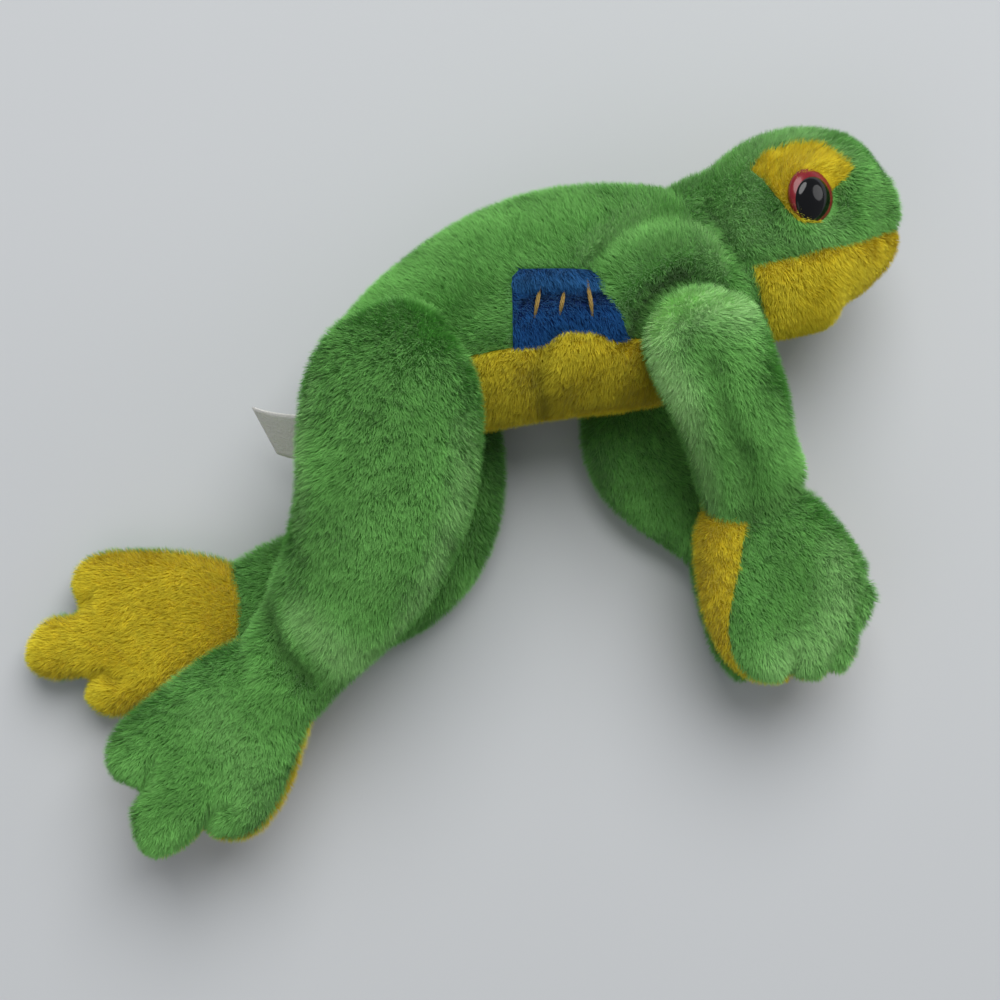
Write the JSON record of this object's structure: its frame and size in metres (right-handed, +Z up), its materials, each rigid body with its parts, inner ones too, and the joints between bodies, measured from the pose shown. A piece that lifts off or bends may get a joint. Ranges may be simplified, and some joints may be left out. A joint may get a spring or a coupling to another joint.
{
  "type": "plush frog",
  "caption": "Small floppy plush frog lying on its side, green back, yellow belly and palms, blue flank patches, glossy eyes and bendable limbs.",
  "frame": {"origin": "on the ground, under the middle of the whole toy's box as it lies on its left side", "axes": "+X from the feet side towards the snout, +Y towards the toy's back, +Z up, which is the toy's own right side"},
  "size_m": [0.218, 0.1806, 0.0628],
  "materials": {
    "green_plush": "short pile plush",
    "yellow_plush": "short pile plush",
    "blue_plush": "short pile plush",
    "gold_thread": "embroidery thread",
    "ribbon": "woven ribbon",
    "fibre_filling": "loose polyester fibre",
    "iris_plastic": "polished",
    "pupil_plastic": "polished",
    "washer_plastic": "as moulded"
  },
  "bodies": {
    "torso": {"back_skin": "green_plush", "belly_panel": "yellow_plush", "flank_patch_near": "blue_plush", "flank_patch_far": "blue_plush", "patch_stitch_near_1": "gold_thread", "patch_stitch_near_2": "gold_thread", "patch_stitch_near_3": "gold_thread", "patch_stitch_far_1": "gold_thread", "patch_stitch_far_2": "gold_thread", "patch_stitch_far_3": "gold_thread", "body_stuffing": "fibre_filling", "tag": "ribbon"},
    "head": {"head_skin": "green_plush", "throat_panel": "yellow_plush", "eye_patch_near": "yellow_plush", "eye_patch_far": "yellow_plush", "eye_near": "iris_plastic", "eye_far": "iris_plastic", "pupil_near": "pupil_plastic", "pupil_far": "pupil_plastic", "eye_washer_near": "washer_plastic", "eye_washer_far": "washer_plastic", "head_stuffing": "fibre_filling"},
    "arm_near": {"arm_skin_near": "green_plush", "arm_stuffing_near": "fibre_filling"},
    "arm_far": {"arm_skin_far": "green_plush", "arm_stuffing_far": "fibre_filling"},
    "hand_near": {"hand_back_near": "green_plush", "palm_near": "yellow_plush", "hand_stuffing_near": "fibre_filling"},
    "hand_far": {"hand_back_far": "green_plush", "palm_far": "yellow_plush", "hand_stuffing_far": "fibre_filling"},
    "leg_near": {"leg_skin_near": "green_plush", "leg_stuffing_near": "fibre_filling"},
    "leg_far": {"leg_skin_far": "green_plush", "leg_stuffing_far": "fibre_filling"},
    "foot_near": {"foot_top_near": "green_plush", "foot_sole_near": "yellow_plush", "foot_stuffing_near": "fibre_filling"},
    "foot_far": {"foot_top_far": "green_plush", "foot_sole_far": "yellow_plush", "foot_stuffing_far": "fibre_filling"}
  },
  "joints": [
    {"name": "neck_bend", "type": "hinge", "parent": "torso", "child": "head", "pos_m": [0.07055, 0.05774, 0.0315], "axis": [0, 0, 1], "range_deg": [-14, 15]},
    {"name": "shoulder_near_swing", "type": "hinge", "parent": "torso", "child": "arm_near", "pos_m": [0.06017, 0.04269, 0.0315], "axis": [0, 0, 1], "range_deg": [-16, 25]},
    {"name": "shoulder_far_swing", "type": "hinge", "parent": "torso", "child": "arm_far", "pos_m": [0.06017, 0.04269, 0.0315], "axis": [0, 0, 1], "range_deg": [-7, 28]},
    {"name": "wrist_near_bend", "type": "hinge", "parent": "arm_near", "child": "hand_near", "pos_m": [0.07303, -0.00044, 0.0315], "axis": [0, 0, 1], "range_deg": [-20, 20]},
    {"name": "wrist_far_bend", "type": "hinge", "parent": "arm_far", "child": "hand_far", "pos_m": [0.06952, -0.00541, 0.0315], "axis": [0, 0, 1], "range_deg": [-5, 40]},
    {"name": "hip_near_swing", "type": "hinge", "parent": "torso", "child": "leg_near", "pos_m": [-0.0153, 0.02491, 0.0315], "axis": [0, 0, 1], "range_deg": [-30, 20]},
    {"name": "hip_far_swing", "type": "hinge", "parent": "torso", "child": "leg_far", "pos_m": [-0.0153, 0.02491, 0.0315], "axis": [0, 0, 1], "range_deg": [-30, 4]},
    {"name": "ankle_near_bend", "type": "hinge", "parent": "leg_near", "child": "foot_near", "pos_m": [-0.04095, -0.04022, 0.0315], "axis": [0, 0, 1], "range_deg": [-20, 20]},
    {"name": "ankle_far_bend", "type": "hinge", "parent": "leg_far", "child": "foot_far", "pos_m": [-0.05164, -0.02838, 0.0315], "axis": [0, 0, 1], "range_deg": [-20, 20]}
  ]
}
